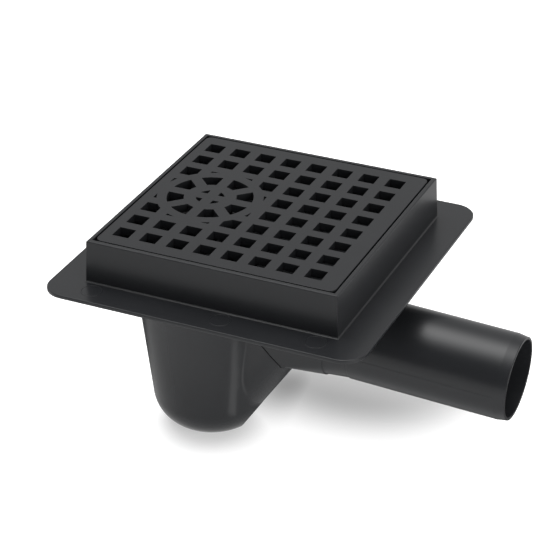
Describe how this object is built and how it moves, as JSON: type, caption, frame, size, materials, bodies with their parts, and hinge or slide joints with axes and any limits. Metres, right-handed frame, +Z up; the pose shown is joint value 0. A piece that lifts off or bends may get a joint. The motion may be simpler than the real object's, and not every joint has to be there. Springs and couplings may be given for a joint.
{
  "type": "floor drain",
  "caption": "Square black plastic floor drain with a grate of square holes, a wide flange, a round trap bowl with a lift-out dip tube and a horizontal side outlet.",
  "frame": {"origin": "centre of the raised frame, on the plane of its rim, which is the finished floor level", "axes": "+Z up out of the floor, +X towards the outlet pipe, +Y to its left when seen from above"},
  "size_m": [0.2504, 0.191, 0.1496],
  "materials": {
    "body_plastic": "satin black moulded plastic",
    "bowl_plastic": "satin black moulded plastic",
    "insert_plastic": "satin black moulded plastic",
    "seal_rubber": "matt black rubber",
    "grate_plastic": "satin black moulded plastic"
  },
  "bodies": {
    "root": {"drain_body": "body_plastic", "trap_bowl": "bowl_plastic", "dip_tube": "insert_plastic", "seal_ring": "seal_rubber", "grate": "grate_plastic"}
  },
  "joints": []
}
